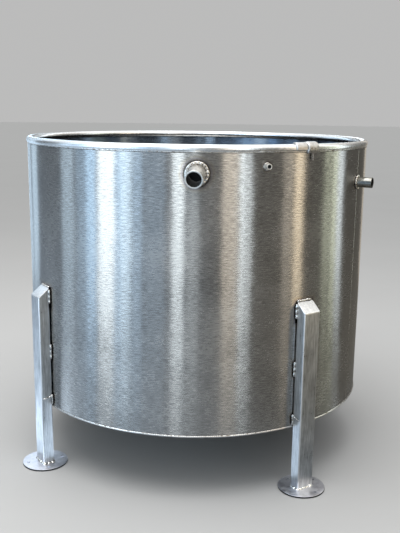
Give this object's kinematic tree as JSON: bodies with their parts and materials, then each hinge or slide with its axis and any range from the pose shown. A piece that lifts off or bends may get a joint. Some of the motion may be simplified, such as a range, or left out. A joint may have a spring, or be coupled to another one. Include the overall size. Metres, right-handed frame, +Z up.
{
  "type": "open-topped stainless steel storage tank on legs",
  "caption": "Upright round stainless tank, open on top with a tubular rim, flat-bottomed, on welded box-section legs with drilled round feet; with a large socket, a side pipe and a small boss.",
  "frame": {"origin": "on the tank's axis at floor level, under the middle of the foot circle", "axes": "+Z up; -Y to the front leg and +X to the right leg; the large socket lies between the front and the left leg"},
  "size_m": [1.104, 1.104, 0.8791],
  "materials": {
    "shell_sheet": "horizontally brushed stainless sheet",
    "bottom_sheet": "brushed stainless sheet with a dressed edge weld",
    "rim_tube": "bright stainless tube",
    "fitting_steel": "turned stainless fitting",
    "weld_metal": "rippled weld bead with heat tint",
    "leg_steel": "lengthwise brushed stainless box section",
    "cap_steel": "bright ground stainless plate",
    "foot_steel": "mill-finish stainless plate"
  },
  "bodies": {
    "root": {"shell_wall_1": "shell_sheet", "shell_wall_2": "shell_sheet", "shell_wall_3": "shell_sheet", "shell_wall_4": "shell_sheet", "shell_wall_5": "shell_sheet", "shell_wall_6": "shell_sheet", "shell_wall_7": "shell_sheet", "shell_wall_8": "shell_sheet", "bottom_plate": "bottom_sheet", "rim_tube_1": "rim_tube", "rim_tube_2": "rim_tube", "rim_tube_3": "rim_tube", "rim_tube_4": "rim_tube", "rim_tube_5": "rim_tube", "rim_tube_6": "rim_tube", "rim_tube_7": "rim_tube", "rim_tube_8": "rim_tube", "rim_saddle": "fitting_steel", "rim_knuckle": "fitting_steel", "rim_knuckle_bolt": "fitting_steel", "front_socket": "fitting_steel", "front_socket_weld": "weld_metal", "side_pipe": "fitting_steel", "side_pipe_weld": "weld_metal", "gauge_boss": "fitting_steel", "gauge_boss_weld": "weld_metal", "front_leg_tube": "leg_steel", "front_leg_cap": "cap_steel", "front_leg_foot": "foot_steel", "right_leg_tube": "leg_steel", "right_leg_cap": "cap_steel", "right_leg_foot": "foot_steel", "rear_leg_tube": "leg_steel", "rear_leg_cap": "cap_steel", "rear_leg_foot": "foot_steel", "left_leg_tube": "leg_steel", "left_leg_cap": "cap_steel", "left_leg_foot": "foot_steel"}
  },
  "joints": []
}
